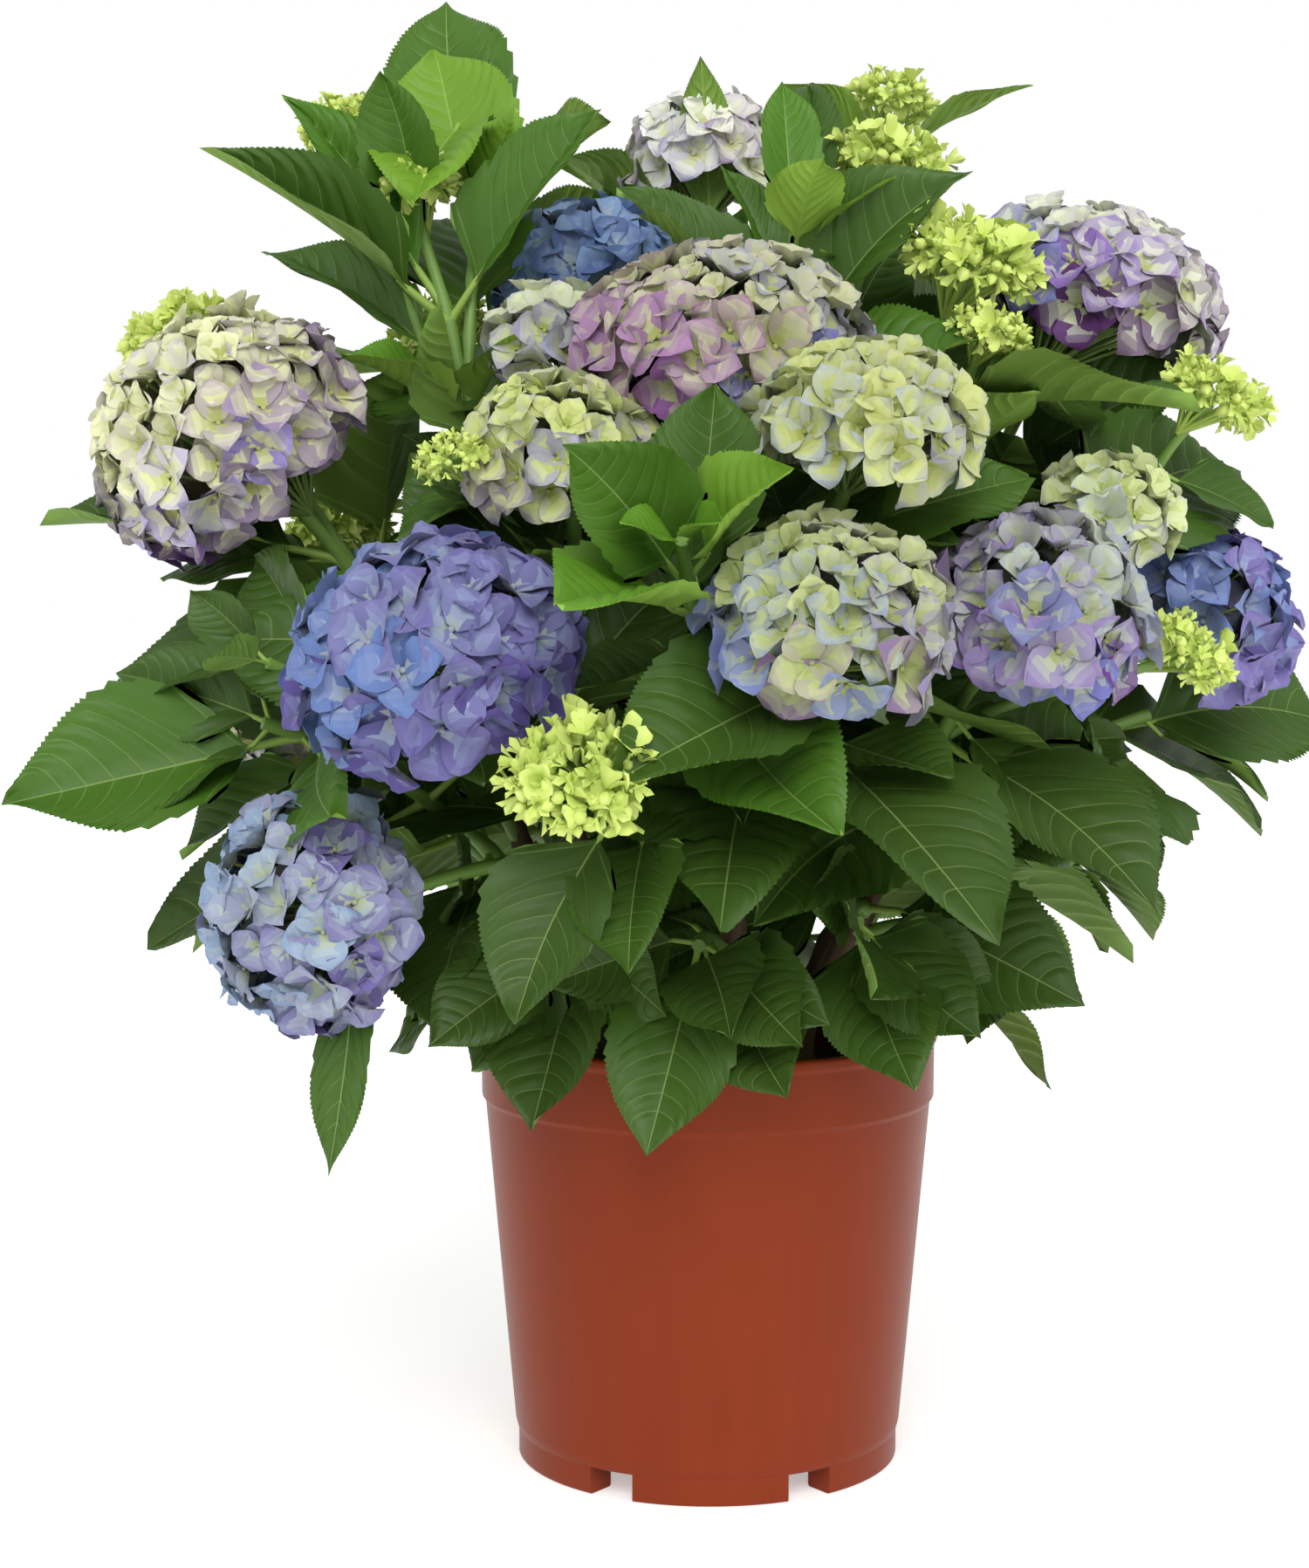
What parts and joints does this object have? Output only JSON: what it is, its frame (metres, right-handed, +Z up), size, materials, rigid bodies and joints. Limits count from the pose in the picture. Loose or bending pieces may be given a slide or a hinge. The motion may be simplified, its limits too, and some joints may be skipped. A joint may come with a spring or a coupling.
{
  "type": "potted hydrangea shrub",
  "caption": "Bigleaf hydrangea shrub with mophead blooms and green buds, growing in a round plastic nursery pot with a rim band and feet.",
  "frame": {"origin": "on the pot's axis at the level of the ground under its feet", "axes": "+Z up along the plant's height, which is its longest extent; -Y is the front, as in the picture; +X is to the right"},
  "size_m": [0.6555, 0.5705, 0.7283],
  "materials": {
    "pot": "satin terracotta-coloured plastic",
    "compost": "dark fibrous bark and peat compost",
    "bark": "pale brown peeling bark",
    "foliage": "green leaves with cream, lavender and blue flowers"
  },
  "bodies": {
    "root": {"pot": "pot", "compost": "compost", "cane_1": "bark", "cane_2": "bark", "cane_3": "bark", "cane_4": "bark", "cane_5": "bark", "cane_6": "bark", "cane_7": "bark", "cane_8": "bark", "cane_9": "bark", "cane_10": "bark", "cane_11": "bark", "shoot_left": "foliage", "shoot_top_left": "foliage", "shoot_violet": "foliage", "shoot_low_left": "foliage", "shoot_far_left": "foliage", "shoot_centre": "foliage", "shoot_centre_left": "foliage", "shoot_blue_behind": "foliage", "shoot_pale_behind": "foliage", "shoot_top": "foliage", "shoot_top_centre": "foliage", "shoot_top_buds": "foliage", "shoot_top_right": "foliage", "shoot_right_buds": "foliage", "shoot_yellow": "foliage", "shoot_front_tip": "foliage", "shoot_front": "foliage", "shoot_front_right": "foliage", "shoot_right": "foliage", "shoot_right_cream": "foliage", "shoot_low_buds": "foliage", "shoot_far_right": "foliage", "shoot_skirt_front_left": "foliage", "shoot_skirt_front": "foliage", "shoot_skirt_front_right": "foliage", "shoot_back_low_1": "foliage", "shoot_back_low_2": "foliage", "shoot_back_low_3": "foliage", "shoot_back_low_4": "foliage", "shoot_back_middle_1": "foliage", "shoot_back_middle_2": "foliage", "shoot_back_middle_3": "foliage", "shoot_back_middle_4": "foliage", "shoot_back_upper_1": "foliage", "shoot_back_upper_2": "foliage", "shoot_skirt_1": "foliage", "shoot_skirt_2": "foliage", "shoot_skirt_3": "foliage", "shoot_skirt_4": "foliage", "shoot_skirt_5": "foliage", "shoot_skirt_6": "foliage"}
  },
  "joints": []
}
